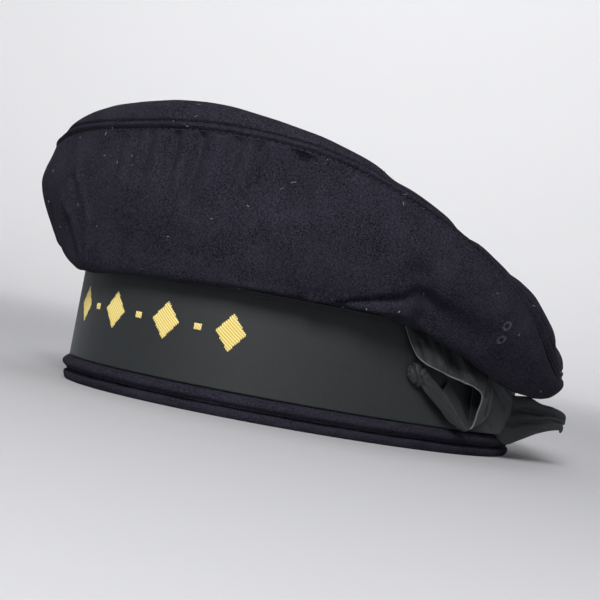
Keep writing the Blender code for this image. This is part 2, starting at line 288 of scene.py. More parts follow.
for part, colour in (
    (wear.outputs["Fac"], "#141319"),
    (grain.outputs[0], "#34323d"),
    (fleck.outputs[0], "#53525c"),
):
    tone = add_node(
        melton, "ShaderNodeMix",
        {0: part, 6: tone.outputs[2], 7: linear(colour)}, data_type="RGBA",
    )
nap = add_node(
    melton, "ShaderNodeTexNoise", {"Vector": place, "Scale": 1 / NAP_SIZE, "Detail": 2.0},
)
height = add_node(
    melton, "ShaderNodeMath", {0: nap.outputs["Fac"], 1: fibre.outputs["Fac"]}, operation="ADD",
)
bump = add_node(
    melton, "ShaderNodeBump",
    {"Height": height.outputs[0], "Strength": 0.55, "Distance": 0.0004},
)
melton.node_tree.links.new(tone.outputs[2], shader.inputs["Base Color"])
melton.node_tree.links.new(bump.outputs["Normal"], shader.inputs["Normal"])

# The cut has eight points, and about six rows run on a smooth line from each to the next. The
# lumps show on the hem only, and none dips below the floor.
cuts = all_round(cloth_sections("headband"), COLUMNS)
band_rows = np.concatenate((
    np.linspace(0, 5, 30),
    np.linspace(5.02, 6, 8),
    np.linspace(6.1, 8, 12)[:-1],
))
band = rows_along(cuts, band_rows, True)
lumps = ripple(band, HEM_LUMP_SIZE, 1) * HEM_LUMPS
on_hem = np.clip((band[:, :, 2] - HEM_LUMPS_FROM) / HEM_LUMPS_RISE, 0, 1)
on_hem *= np.clip((HEM_LUMPS_TO - band[:, :, 2]) / HEM_LUMPS_FADE, 0, 1)
band -= outward(band) * (lumps * on_hem)[:, :, None]
band[:, :, 2] = np.maximum(band[:, :, 2], 0)
headband = grid_piece("headband_wool", band, [melton], closed_section=True)
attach(headband, "root")
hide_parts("headband")


# Welt. A second roll of the same wool, folded over and stitched to the band just above the
# hem, where it stands proud of the ribbon. Its fold is lumpy and a little uneven in height.
WELT_LUMPS = 0.0004
WELT_LUMP_SIZE = 0.007
WELT_CRUMB_SIZE = 0.0025
WELT_LUMPS_OVER = 0.002
WELT_LUMPS_START = 0.3
cuts = all_round(cloth_sections("band_welt"), COLUMNS)
roll = rows_along(cuts, np.arange(0, cuts.shape[1], 0.25), True)
lumps = ripple(roll, WELT_LUMP_SIZE, 2) * WELT_LUMPS
lumps += ripple(roll, WELT_CRUMB_SIZE, 3) * WELT_LUMPS / 3
outside = distances_out(roll)
outside = (outside - outside.min(axis=1, keepdims=True)) / WELT_LUMPS_OVER
outside = np.clip(outside - WELT_LUMPS_START, 0, 1)
roll -= outward(roll) * (np.abs(lumps) * outside)[:, :, None]
welt = grid_piece("welt_roll", roll, [melton], closed_section=True)
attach(welt, "root")
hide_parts("band_welt")


# Ribbon. A black silk-faced ribbon is wound round the band and drawn flat. It is closely
# woven across, and its upper edge is doubled, which leaves two fine lines along it.
RIBBON_WAVE = 0.00012
RIBBON_WAVE_SIZE = 0.012
RIBBON_WAVE_TALL = (1, 1, 0.35)
EDGE_LINES = (0.0009, 0.0018)
EDGE_LINE_DEPTH = 0.00012
EDGE_LINE_WIDTH = 0.00016
FACE_END = 1.9999
cuts = all_round(cloth_sections("hat_ribbon"), COLUMNS)

# The rows go up the face from the cut's corner 1 to corner 2, closely at the edge lines, then
# over the top and down the back. Only the face has the waves and the lines.
rise = np.concatenate((
    np.linspace(1, 1.94, 48),
    np.linspace(1.942, 2, 30),
    (2.5,),
    np.linspace(3, 4, 4)[:-1],
))
corner = np.floor(rise).astype(int)
share = (rise - corner)[None, :, None]
wound = cuts[:, corner % 4] * (1 - share) + cuts[:, (corner + 1) % 4] * share
below_top = wound[:, :, 2].max() - wound[:, :, 2]
face = (rise < FACE_END)[None, :]
dip = np.abs(ripple(wound * RIBBON_WAVE_TALL, RIBBON_WAVE_SIZE, 4)) * RIBBON_WAVE
for line in EDGE_LINES:
    dip = dip + EDGE_LINE_DEPTH * np.exp(-((below_top - line) / EDGE_LINE_WIDTH) ** 2)
axis_way = wound - np.array(AXIS)
axis_way[:, :, 2] = 0
axis_way /= np.linalg.norm(axis_way, axis=2, keepdims=True)
wound -= axis_way * (dip * face)[:, :, None]

# Silk faille: a plain weave with fine ribs across the ribbon. It is black with a dull gloss,
# and the light picks out faint streaks along it, 25 mm long and 1.1 mm wide. The ribs are
# drawn at 0.7 mm and the threads at 0.6 mm, coarser than they are, so that they show. A
# wave's scale is pi / 10 over the spacing of its bands.
FAILLE_RIB = 0.0007
FAILLE_THREAD = 0.0006
faille, shader = new_material("silk_faille", 0.62, 0.12, "#a0a8b0", 0.32)
uv = add_node(faille, "ShaderNodeUVMap", {}, uv_map="cloth").outputs["UV"]
place = add_node(faille, "ShaderNodeTexCoord", {}).outputs["Object"]
ribs = add_node(
    faille, "ShaderNodeTexWave",
    {"Vector": uv, "Scale": math.pi / 10 / FAILLE_RIB, "Distortion": 0.6, "Detail": 1.0},
    bands_direction="X",
)
stretched = add_node(faille, "ShaderNodeMapping", {"Vector": uv, "Scale": (40.0, 900.0, 1.0)})
streaks = add_node(
    faille, "ShaderNodeTexNoise", {"Vector": stretched.outputs[0], "Scale": 1.0, "Detail": 3.0},
)
threads = add_node(
    faille, "ShaderNodeTexNoise", {"Vector": place, "Scale": 1 / FAILLE_THREAD, "Detail": 2.0},
)
tone = add_node(
    faille, "ShaderNodeMix",
    {0: streaks.outputs["Fac"], 6: linear("#1b1e1f"), 7: linear("#242729")}, data_type="RGBA",
)
tone = add_node(
    faille, "ShaderNodeMix",
    {0: threads.outputs["Fac"], 6: tone.outputs[2], 7: linear("#1f2224")}, data_type="RGBA",
)
height = add_node(
    faille, "ShaderNodeMath", {0: ribs.outputs["Fac"], 1: threads.outputs["Fac"]}, operation="ADD",
)
bump = add_node(
    faille, "ShaderNodeBump",
    {"Height": height.outputs[0], "Strength": 0.25, "Distance": 0.0001},
)
faille.node_tree.links.new(tone.outputs[2], shader.inputs["Base Color"])
faille.node_tree.links.new(bump.outputs["Normal"], shader.inputs["Normal"])

ribbon = grid_piece("ribbon_round_band", wound, [faille], closed_section=True)
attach(ribbon, "root")
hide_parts("hat_ribbon")


# Gold work. A row of lozenges and small squares is woven into the ribbon's front with gold
# thread. Each thread is a raised float that lies across the ribbon, so the slanting edges
# are stepped.
THREAD_PITCH = 0.00058
THREAD_LIFT = 0.00022
THREAD_FOOT = 0.00002
THREAD_SIDES = (-0.52, -0.26, 0.0, 0.26, 0.52)
THREAD_ROUNDING = 0.85
THREAD_TAPER = 0.9
THREAD_STEP = 0.001
LOZENGES_FROM = 0.003
MOTIF_MIDDLE = 0.0215
MOTIF_COLUMNS = ("angle", "half_width", "half_height")
MOTIFS = (
    (-17.5, 0.0046, 0.0070),
    (-10.7, 0.0013, 0.0013),
    (-4.0, 0.0050, 0.0070),
    (3.3, 0.0013, 0.0013),
    (10.2, 0.0050, 0.0070),
    (17.6, 0.0013, 0.0013),
    (24.8, 0.0050, 0.0070),
)
ribbon_low, ribbon_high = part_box("hat_ribbon")
half_x = (ribbon_high.x - ribbon_low.x) / 2
half_y = (ribbon_high.y - ribbon_low.y) / 2


def ribbon_radius(turn):
    """Distance from the axis to the ribbon's face, an oval, at an angle from the front."""
    return 1 / math.hypot(math.sin(turn) / half_x, math.cos(turn) / half_y)


def on_ribbon(turn, rise, lift):
    """A point on the ribbon's face: angle from the front, height over its base, and lift."""
    radius = ribbon_radius(turn) + lift
    x = AXIS.x + radius * math.sin(turn)
    y = AXIS.y - radius * math.cos(turn)
    return (x, y, ribbon_low.z + rise)


points = []
faces = []
sides = len(THREAD_SIDES)
for row in MOTIFS:
    motif = dict(zip(MOTIF_COLUMNS, row))
    middle = math.radians(motif["angle"])
    floats = round(motif["half_width"] / THREAD_PITCH)
    for k in range(-floats, floats + 1):
        across = k * THREAD_PITCH
        tall = motif["half_height"]
        if tall > LOZENGES_FROM:
            tall *= 1 - abs(across) / (motif["half_width"] + THREAD_PITCH)
        tall = round(tall / THREAD_PITCH) * THREAD_PITCH
        if tall <= 0:
            continue
        steps = max(2, round(tall / THREAD_STEP))
        first = len(points)
        for step in range(2 * steps + 1):
            part = step / steps - 1
            swell = 1 - part ** 6 * THREAD_TAPER
            for side in THREAD_SIDES:
                turn = middle + (across + side * THREAD_PITCH) / ribbon_radius(middle)
                rounded = 1 - (side / THREAD_SIDES[-1]) ** 2 * THREAD_ROUNDING
                lift = THREAD_FOOT + THREAD_LIFT * swell * rounded
                points.append(on_ribbon(turn, MOTIF_MIDDLE + part * tall, lift))
        for step in range(2 * steps):
            for side in range(sides - 1):
                a = first + step * sides + side
                faces.append((a, a + 1, a + sides + 1, a + sides))
mesh = bpy.data.meshes.new("gold_lozenges")
mesh.from_pydata(points, [], faces)
mesh.shade_smooth()
gold_work = link_piece("gold_lozenges", mesh)

# Gold silk thread: pale yellow floss with a soft gloss, tied down in slanting rows that show
# as fine darker lines about 0.9 mm apart.
TWILL_PITCH = 0.0009
TWILL_SLANT = math.radians(48)
gold, shader = new_material("gold_thread", 0.50, 0.15, "#fff2c0", 0.40)
place = add_node(gold, "ShaderNodeTexCoord", {}).outputs["Object"]
slant = add_node(
    gold, "ShaderNodeMapping", {"Vector": place, "Rotation": (0.0, TWILL_SLANT, 0.0)},
)
twill = add_node(
    gold, "ShaderNodeTexWave",
    {
        "Vector": slant.outputs[0], "Scale": math.pi / 10 / TWILL_PITCH,
        "Distortion": 0.4, "Detail": 1.0,
    },
    bands_direction="X",
)
tone = add_node(
    gold, "ShaderNodeMix",
    {0: twill.outputs["Fac"], 6: linear("#b9a150"), 7: linear("#e8d68c")}, data_type="RGBA",
)
bump = add_node(
    gold, "ShaderNodeBump",
    {"Height": twill.outputs["Fac"], "Strength": 0.4, "Distance": 0.0001},
)
gold.node_tree.links.new(tone.outputs[2], shader.inputs["Base Color"])
gold.node_tree.links.new(bump.outputs["Normal"], shader.inputs["Normal"])
mesh.materials.append(gold)
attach(gold_work, "root")


# Crown's side. A deep ring of the same wool is gathered to the band and rises to the seam.
# It is drawn in by the seam's stitches as short puckers, folds over itself above the ribbon,
# and carries soft creases at the front where it has been worn.

# A fold runs from one end to the other, each given by its degrees round from the front and
# its share of the way from the foot to the seam. Its width and its lift are in millimetres.
FOLD_COLUMNS = ("angle_a", "share_a", "angle_b", "share_b", "width", "lift")
FOLD_FADE = 0.35
FOLD_END = 0.1
SIDE_FOLDS = (
    (-3.8, 1.00, -3.2, 0.70, 1.9, -1.50),
    (-1.2, 0.96, -0.8, 0.72, 1.6, 0.70),
    (0.8, 1.00, 1.2, 0.62, 1.7, -1.80),
    (4.0, 1.00, 4.4, 0.60, 2.2, -2.40),
    (7.0, 0.96, 7.2, 0.66, 1.9, 1.00),
    (9.8, 1.00, 10.0, 0.66, 2.3, -2.60),
    (12.4, 0.94, 12.9, 0.55, 1.9, 1.20),
    (15.2, 1.00, 14.6, 0.46, 2.6, -2.90),
    (18.6, 0.94, 18.2, 0.55, 2.4, 1.30),
    (22.2, 1.00, 21.6, 0.58, 2.4, -2.30),
    (26.6, 1.00, 26.4, 0.60, 2.4, -2.20),
    (29.4, 0.92, 29.6, 0.70, 2.4, 0.70),
    (34.2, 0.97, 35.4, 0.56, 5.0, -3.60),
    (41.0, 1.00, 42.0, 0.78, 2.8, -1.20),
    (26.0, 0.62, 31.0, 0.34, 6.0, -1.30),
    (8.0, 0.50, 24.0, 0.42, 7.0, 1.00),
    (-14.3, 0.78, -10.2, 0.57, 1.5, 1.30),
    (-10.2, 0.57, -8.3, 0.42, 1.5, 1.40),
    (-8.3, 0.42, -9.6, 0.12, 1.5, 1.30),
    (-18.5, 0.52, -13.6, 0.38, 1.5, 1.30),
    (-13.6, 0.38, -10.6, 0.14, 1.4, 1.10),
    (-15.5, 0.66, -12.5, 0.44, 2.6, -1.60),
    (-18.0, 0.38, -13.5, 0.16, 2.4, -1.40),
    (26.0, 0.17, 40.0, 0.19, 2.0, 0.80),
    (40.0, 0.19, 53.0, 0.27, 2.0, 1.20),
    (53.0, 0.27, 62.0, 0.38, 2.0, 1.20),
    (46.0, 0.22, 53.5, 0.35, 1.4, -3.00),
    (53.5, 0.35, 60.0, 0.47, 1.6, -3.40),
    (60.0, 0.48, 70.0, 0.53, 2.8, -2.80),
    (70.0, 0.53, 82.0, 0.60, 4.5, -2.20),
    (60.0, 0.62, 67.0, 0.30, 6.0, -4.20),
    (-60.0, 1.00, -61.0, 0.78, 2.2, -1.00),
    (-85.0, 1.00, -84.0, 0.74, 2.4, -1.10),
    (-118.0, 1.00, -117.0, 0.76, 2.2, -1.00),
    (-148.0, 1.00, -149.0, 0.76, 2.4, -1.10),
    (176.0, 1.00, 177.0, 0.72, 2.6, -1.20),
    (150.0, 1.00, 151.0, 0.74, 2.2, -1.00),
    (-40.0, 1.00, -39.0, 0.80, 2.0, -0.90),
    (-128.0, 0.30, -108.0, 0.34, 3.0, -1.20),
    (-80.0, 0.30, -55.0, 0.26, 3.0, -1.10),
    (158.0, 0.42, 188.0, 0.46, 2.6, -1.00),
)
SIDE_GROOVE = 0.00080
SIDE_GROOVE_WIDTH = 0.0007
SIDE_SWELL, SIDE_SWELL_SIZE = 0.0007, 0.030
SIDE_RUMPLE, SIDE_RUMPLE_SIZE = 0.00025, 0.011
FOOT_FADE = 0.06
SEAM_FADE = 0.0015
INSIDE_FADE = 1.5
TIGHT_AT = 112.0
TIGHT_WIDTH = 24.0
TIGHT_LOSS = 0.65
CROWN_RADIUS = 0.115

# At these angles the lowest part of the side droops over the ribbon, and is tucked in under
# the crown, by so many millimetres. Both fade out above it and near the foot.
BEND_COLUMNS = ("angle", "droop", "tuck")
SIDE_BEND = (
    (-180, 0.0, 0.0),
    (-50, 0.0, 0.0),
    (-32, 0.6, 0.0),
    (-24, 3.4, 0.0),
    (-16, 6.4, 0.0),
    (-8, 6.8, 0.0),
    (2, 5.2, 0.0),
    (14, 3.8, 0.0),
    (26, 1.6, 0.0),
    (38, 0.0, 0.0),
    (56, 0.0, 0.0),
    (64, 1.6, 3.5),
    (72, 3.0, 6.5),
    (84, 3.6, 7.5),
    (94, 3.0, 7.0),
    (104, 0.8, 3.0),
    (114, 0.0, 0.0),
    (180, 0.0, 0.0),
)
BEND_HEIGHT = 0.009
TUCK_HEIGHT = 0.013
BEND_FROM, BEND_REACH = 0.002, 0.006


def seam_depth(turns):
    """Share of the seam's depth that is left: it is drawn flat at the crown's drooping corner."""
    away = (turns - TIGHT_AT + 180) % 360 - 180
    return 1 - TIGHT_LOSS * np.exp(-(away / TIGHT_WIDTH) ** 2)


def fold_lift(turn, share, length, folds):
    """How far folds lift the cloth, from angles, shares along it and its length there."""
    lift = np.zeros_like(turn)
    for row in folds:
        fold = dict(zip(FOLD_COLUMNS, row))
        away = (turn - fold["angle_a"] + 180) % 360 - 180
        u = np.radians(away) * CROWN_RADIUS
        v = (share - fold["share_a"]) * length
        run_u = math.radians(fold["angle_b"] - fold["angle_a"]) * CROWN_RADIUS
        run_v = (fold["share_b"] - fold["share_a"]) * length
        size = run_u ** 2 + run_v ** 2
        t = (u * run_u + v * run_v) / size
        held = np.clip(t, 0, 1)
        beside = (u - held * run_u) ** 2 + (v - held * run_v) ** 2
        strength = np.where(t > 1 - FOLD_FADE, np.clip((1 - held) / FOLD_FADE, 0, 1), 1)
        strength = strength * strength * (3 - 2 * strength) * (1 - FOLD_END) + FOLD_END
        lift += fold["lift"] / 1000 * strength * np.exp(-beside / (fold["width"] / 1000) ** 2)
    return lift


cuts = all_round(cloth_sections("crown_side"), COLUMNS)
half = cuts.shape[1] // 2
bend_from = distances_out(cuts[:, :1]) + BEND_FROM
outer_rows = np.concatenate((
    np.linspace(0, 1, 3)[:-1],
    np.linspace(1, half - 2, 70),
    np.linspace(half - 2, half - 1, 11)[1:],
))
inner_rows = np.linspace(half, 2 * half - 1, half)
side_out = rows_along(cuts[:, :half], outer_rows)
side_in = rows_along(cuts[:, half:], inner_rows - half)
bends = dict(zip(BEND_COLUMNS, np.array(SIDE_BEND).T))
for cloth in (side_out, side_in):
    around = angles_round(cloth)
    above = cloth[:, :, 2] - side_out[:, :, 2].min(axis=1, keepdims=True)
    reach = np.clip((distances_out(cloth) - bend_from) / BEND_REACH, 0, 1)
    droop = np.interp(around, bends["angle"], bends["droop"]) / 1000
    tuck = np.interp(around, bends["angle"], bends["tuck"]) / 1000
    cloth[:, :, 2] -= droop * reach * np.exp(-(above / BEND_HEIGHT) ** 2)
    inwards = np.array(AXIS)[:2] - cloth[:, :, :2]
    inwards /= np.linalg.norm(inwards, axis=2, keepdims=True)
    cloth[:, :, :2] += inwards * (tuck * reach * np.exp(-(above / TUCK_HEIGHT) ** 2))[:, :, None]
turns = angles_round(side_out)
share = np.broadcast_to(np.clip((outer_rows - 1) / (half - 2), 0, 1), turns.shape)
length = np.linalg.norm(np.diff(side_out, axis=1), axis=2).sum(axis=1)[:, None]
below_seam = (1 - share) * length
lift = fold_lift(turns, share, length, SIDE_FOLDS)
swells = ripple(side_out, SIDE_SWELL_SIZE, 5) * SIDE_SWELL
lift += swells + ripple(side_out, SIDE_RUMPLE_SIZE, 6) * SIDE_RUMPLE
lift *= np.clip(share / FOOT_FADE, 0, 1) * np.clip(below_seam / SEAM_FADE, 0, 1)
lift -= SIDE_GROOVE * seam_depth(turns) * np.exp(-(below_seam / SIDE_GROOVE_WIDTH) ** 2)

# The inside follows the same folds, except at its two ends.
side_in_lift = np.array([np.interp(2 * half - 1 - inner_rows, outer_rows, line) for line in lift])
from_end = np.minimum(np.arange(half), half - 1 - np.arange(half))
side_in_lift *= np.clip(from_end / INSIDE_FADE, 0, 1)
side_out = side_out + outward(side_out) * lift[:, :, None]
side_in = side_in - outward(side_in) * side_in_lift[:, :, None]
side = np.concatenate((side_out, side_in), axis=1)
crown_side = grid_piece("crown_side_wool", side, [melton], closed_section=True)
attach(crown_side, "root")
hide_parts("crown_side")


# Crown's top. A round of wool is sewn to the side and rolls over the seam. The seam's turned
# edges lie under it, so a flat rib runs above the stitching, with a fine groove over it.
RIB_HEIGHT, RIB_WIDTH = 0.0026, 0.0008
RIB_GROOVE, RIB_GROOVE_WIDTH = 0.00095, 0.0005
RIB_SWELL = 0.00045
RIB_BEAD = 0.00012
TOP_GROOVE_WIDTH = 0.0006
TOP_SWELL, TOP_SWELL_SIZE = 0.0009, 0.035
TOP_RUMPLE, TOP_RUMPLE_SIZE = 0.00022, 0.012
TOP_EDGE_FADE, TOP_MIDDLE_FADE = 0.003, 0.02
STITCH_SPACING = 0.0027
TOP_FOLDS = (
    (-38.0, 0.12, 28.0, 0.12, 20.0, 2.00),
    (66.0, 0.00, 71.0, 0.16, 5.0, -1.80),
    (92.0, 0.03, 104.0, 0.10, 9.0, 1.60),
    (50.0, 0.00, 53.0, 0.12, 4.5, -0.80),
    (79.0, 0.00, 84.0, 0.10, 4.0, -0.70),
    (-30.0, 0.10, 10.0, 0.45, 9.0, -1.20),
    (60.0, 0.35, 95.0, 0.60, 11.0, -1.50),
    (-100.0, 0.20, -60.0, 0.50, 10.0, -1.30),
    (150.0, 0.25, 200.0, 0.45, 10.0, -1.20),
    (120.0, 0.12, 122.0, 0.40, 8.0, -1.00),
)
cuts = all_round(cloth_sections("crown_top"), COLUMNS)
half = cuts.shape[1] // 2
outer = cuts[:, :half][:, ::-1]
inner = cuts[:, half:]
top_rows = np.concatenate((
    np.linspace(0, 1, 17)[:-1],
    np.linspace(1, 3, 15)[:-1],
    np.linspace(3, half - 1, 30),
))
top_out = rows_along(outer, top_rows)
steps = np.linalg.norm(np.diff(top_out, axis=1), axis=2)
along = np.concatenate((np.zeros((COLUMNS, 1)), np.cumsum(steps, axis=1)), axis=1)
turns = angles_round(top_out)
length = along[:, -1:]
lift = fold_lift(turns, along / length, length, TOP_FOLDS)
swells = ripple(top_out, TOP_SWELL_SIZE, 7) * TOP_SWELL
lift += swells + ripple(top_out, TOP_RUMPLE_SIZE, 8) * TOP_RUMPLE
lift *= np.clip(along / TOP_EDGE_FADE, 0, 1) * np.clip((length - along) / TOP_MIDDLE_FADE, 0, 1)
on_rib = np.exp(-((along - RIB_HEIGHT / 2) / RIB_WIDTH) ** 2)
beads = np.cos(math.tau * np.radians(turns) * CROWN_RADIUS / STITCH_SPACING)
depth = seam_depth(turns)
lift += (RIB_SWELL + RIB_BEAD * beads) * depth * on_rib
lift -= RIB_GROOVE * depth * np.exp(-((along - RIB_HEIGHT) / RIB_GROOVE_WIDTH) ** 2)
lift -= SIDE_GROOVE * depth * np.exp(-(along / TOP_GROOVE_WIDTH) ** 2)
top_out = top_out + outward(top_out) * lift[:, :, None]
top = np.concatenate((inner[:, ::-1], top_out), axis=1)
crown_top = grid_piece("crown_top_wool", top, [melton])

# The grid stops short of the middle, outside and inside, so both holes are closed there.
edit = bmesh.new()
edit.from_mesh(crown_top.data)
open_edges = [edge for edge in edit.edges if edge.is_boundary]
caps = bmesh.ops.holes_fill(edit, edges=open_edges, sides=0)["faces"]
caps = bmesh.ops.poke(edit, faces=caps)["faces"]
for cap_face in caps:
    cap_face.smooth = True
bmesh.ops.recalc_face_normals(edit, faces=edit.faces)
edit.to_mesh(crown_top.data)
edit.free()
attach(crown_top, "root")
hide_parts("crown_top")


# Bow. The ribbon's ends are tied in a small flat bow at the wearer's left, half under the
# crown. One loop stands open with its woven edge to the front, and a short tail shows in it.
BOW_DEPTH = 0.010
STRIP_THICKNESS = 0.0005
STRIP_RIPPLE, STRIP_RIPPLE_SIZE = 0.00015, 0.006
RIBBON_WIDTH = 0.038
LOOP_ACROSS = 41

# A row is a cut across the loop. It gives each edge's angle round the cap, its share of the
# bow's depth out from the ribbon and its share of the ribbon's width up, and how far out the
# middle stands.
LOOP_COLUMNS = ("angle_a", "out_a", "height_a", "mid_out", "angle_b", "out_b", "height_b")
LOOP_ROWS = (
    (65.0, 0.09, 0.95, 0.12, 66.5, 0.08, 0.97),
    (67.0, 0.20, 0.80, 0.24, 69.5, 0.12, 0.95),
    (69.0, 0.42, 0.67, 0.44, 72.0, 0.20, 0.93),
    (71.5, 0.60, 0.61, 0.60, 75.0, 0.26, 0.91),
    (75.0, 0.72, 0.57, 0.58, 77.5, 0.26, 0.89),
    (79.0, 0.78, 0.53, 0.42, 80.0, 0.18, 0.87),
    (83.0, 0.88, 0.50, 0.64, 84.5, 0.34, 0.85),
    (87.5, 0.92, 0.46, 0.80, 90.0, 0.48, 0.78),
    (90.5, 0.90, 0.41, 0.82, 94.5, 0.56, 0.66),
    (92.0, 0.78, 0.33, 0.76, 98.0, 0.60, 0.50),
    (92.8, 0.62, 0.22, 0.64, 99.0, 0.58, 0.35),
    (93.5, 0.50, 0.12, 0.54, 99.5, 0.50, 0.22),
    (93.5, 0.38, 0.04, 0.40, 97.5, 0.40, 0.11),
    (90.0, 0.24, 0.03, 0.24, 93.0, 0.22, 0.12),
    (85.0, 0.14, 0.10, 0.13, 88.0, 0.13, 0.32),
    (80.0, 0.12, 0.24, 0.11, 82.5, 0.12, 0.48),
)

# A fold runs from one place to another, each given by its row in the table above and its
# share of the way across. Its width and its lift are in metres.
FOLD_PLACES = ("row_a", "across_a", "row_b", "across_b", "width", "lift")
LOOP_FOLDS = (
    (2.1, 0.85, 4.3, 0.05, 0.0012, 0.0013),
    (1.6, 0.45, 3.0, 0.02, 0.0010, -0.0008),
    (3.6, 0.75, 5.0, 0.10, 0.0011, -0.0010),
    (4.8, 0.98, 6.1, 0.02, 0.0008, -0.0020),
    (5.3, 0.98, 6.7, 0.05, 0.0012, 0.0014),
    (7.2, 0.95, 8.6, 0.30, 0.0013, -0.0010),
    (8.4, 0.70, 10.8, 0.60, 0.0008, -0.0012),
)


def bow_point(angle, out, height, depth):
    """A point of the bow: angle, share of a depth out from the ribbon, share of its width up."""
    return on_ribbon(math.radians(angle), height * RIBBON_WIDTH, out * depth)


# Selvedge: the ribbon's woven edge, where the weft turns back. It is denser, and the light
# it catches is painted into its colour as a thin pale line, a painted highlight.
selvedge_highlight, shader = new_material("silk_selvedge_painted_highlight", 0.55, 0.30, "#ffffff", 0.40)
uv = add_node(selvedge_highlight, "ShaderNodeUVMap", {}, uv_map="cloth").outputs["UV"]
turns_back = add_node(
    selvedge_highlight, "ShaderNodeTexWave",
    {"Vector": uv, "Scale": math.pi / 10 / FAILLE_RIB, "Distortion": 0.5}, bands_direction="X",
)
tone = add_node(
    selvedge_highlight, "ShaderNodeMix",
    {0: turns_back.outputs["Fac"], 6: linear("#4c4f50"), 7: linear("#6d7071")}, data_type="RGBA",
)
selvedge_highlight.node_tree.links.new(tone.outputs[2], shader.inputs["Base Color"])


def strip_piece(name, sections, fine_along, fine_across, ripples, folds=()):
    """A length of ribbon through sections of points, with its folds and thickness.

    The folds and ripples almost leave the edge at the sections' first points as it is.
    """
    rows = smooth_along(np.array(sections), np.linspace(0, len(sections) - 1, fine_along), False)
    sheet = rows_along(rows, np.linspace(0, rows.shape[1] - 1, fine_across))
    lift = ripple(sheet, STRIP_RIPPLE_SIZE, len(folds)) * ripples
    for row in folds:
        fold = dict(zip(FOLD_PLACES, row))
        a, b = (
            sheet[
                round(fold["row_" + end] / (len(sections) - 1) * (fine_along - 1)),
                round(fold["across_" + end] * (fine_across - 1)),
            ]
            for end in "ab"
        )
        t = np.clip((sheet - a) @ (b - a) / ((b - a) @ (b - a)), 0, 1)[:, :, None]
        beside = np.linalg.norm(sheet - a - t * (b - a), axis=2)
        lift = lift + fold["lift"] * np.exp(-(beside / fold["width"]) ** 2)
    lift *= np.clip(np.linspace(0.1, 8, fine_across), 0, 1)
    sheet = sheet + outward(sheet, False) * lift[:, :, None]
    piece = grid_piece(name, sheet, [faille, selvedge_highlight], closed_round=False)
    wall = piece.modifiers.new("thickness", "SOLIDIFY")
    wall.thickness = STRIP_THICKNESS
    wall.offset = 0
    bpy.ops.object.select_all(action="DESELECT")
    bpy.context.view_layer.objects.active = piece
    piece.select_set(True)
    bpy.ops.object.modifier_apply(modifier="thickness")
    piece.data.shade_smooth()
    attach(piece, "root")
    return piece


def bowed_sections(table):
    """Sections of a strip whose middle stands out by its own share."""
    sections = []
    for row in table:
        at = dict(zip(LOOP_COLUMNS, row))
        mid_angle = (at["angle_a"] + at["angle_b"]) / 2
        mid_height = (at["height_a"] + at["height_b"]) / 2
        sections.append([
            bow_point(at["angle_a"], at["out_a"], at["height_a"], BOW_DEPTH),
            bow_point(mid_angle, at["mid_out"], mid_height, BOW_DEPTH),
            bow_point(at["angle_b"], at["out_b"], at["height_b"], BOW_DEPTH),
        ])
    return sections


loop = strip_piece(
    "bow_loop_ribbon", bowed_sections(LOOP_ROWS),
    fine_along=170, fine_across=LOOP_ACROSS, ripples=STRIP_RIPPLE, folds=LOOP_FOLDS,
)
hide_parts("bow_loop")
# The loop's two edge columns take the woven edge's painted highlight.
for face in loop.data.polygons:
    across = [i % LOOP_ACROSS for i in face.vertices]
    if max(across) <= 1:
        face.material_index = 1

# The front tail hangs from the knot, narrow and flat, and its middle stands a little proud.
TAIL_COLUMNS = ("angle_a", "out_a", "height_a", "angle_b", "out_b", "height_b")
FRONT_TAIL_ROWS = (
    (70.9, 0.25, 0.46, 74.0, 0.30, 0.51),
    (73.4, 0.34, 0.35, 77.1, 0.40, 0.43),
    (76.3, 0.38, 0.27, 81.2, 0.42, 0.32),
    (81.3, 0.44, 0.145, 84.8, 0.45, 0.20),
    (85.7, 0.50, 0.05, 88.0, 0.48, 0.10),
    (89.0, 0.55, 0.01, 90.2, 0.55, 0.03),
)
FRONT_TAIL_FOLDS = ((0.6, 0.2, 3.6, 0.75, 0.0007, -0.0006),)
FRONT_TAIL_RAISE = 0.0007
sections = []
for row in FRONT_TAIL_ROWS:
    at = dict(zip(TAIL_COLUMNS, row))
    a = np.array(bow_point(at["angle_a"], at["out_a"], at["height_a"], BOW_DEPTH))
    b = np.array(bow_point(at["angle_b"], at["out_b"], at["height_b"], BOW_DEPTH))
    ahead = math.radians(at["angle_a"])
    raised = np.array((math.sin(ahead), -math.cos(ahead), 0)) * FRONT_TAIL_RAISE
    sections.append([a, a + (b - a) * 0.33 + raised, a + (b - a) * 0.67 + raised, b])
front_tail = strip_piece(
    "bow_front_tail", sections,
    fine_along=60, fine_across=17, ripples=STRIP_RIPPLE, folds=FRONT_TAIL_FOLDS,
)
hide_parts("bow_tail_front")

# The back tail leaves the band behind the loop and curls out. It is folded along its length,
# so its upper half rolls over a deep groove.
TAIL_REACH = 0.022
BACK_TAIL_ROWS = (
    (98.5, 0.03, 0.04, 98.5, 0.03, 0.52),
    (104.0, 0.03, 0.04, 104.0, 0.03, 0.52),
    (109.0, 0.03, 0.03, 109.0, 0.03, 0.50),
    (112.5, 0.07, -0.02, 112.5, 0.07, 0.48),
    (115.5, 0.19, -0.09, 115.5, 0.17, 0.44),
    (118.5, 0.38, -0.02, 118.0, 0.36, 0.45),
    (121.5, 0.60, 0.07, 121.0, 0.57, 0.40),
    (124.0, 0.82, 0.13, 123.5, 0.78, 0.38),
    (126.0, 0.97, 0.15, 125.5, 0.95, 0.33),
    (127.0, 0.99, 0.12, 127.0, 1.00, 0.24),
)
TAIL_FOLD = (0.0, 0.3, 0.6, 0.7, 0.5, -0.7, 0.3, 0.5, -1.2, -0.5, 0.9, 1.0, 0.2)
TAIL_FOLD_DEPTH = 0.0034
TAIL_FOLD_WAY = 0.5
sections = []
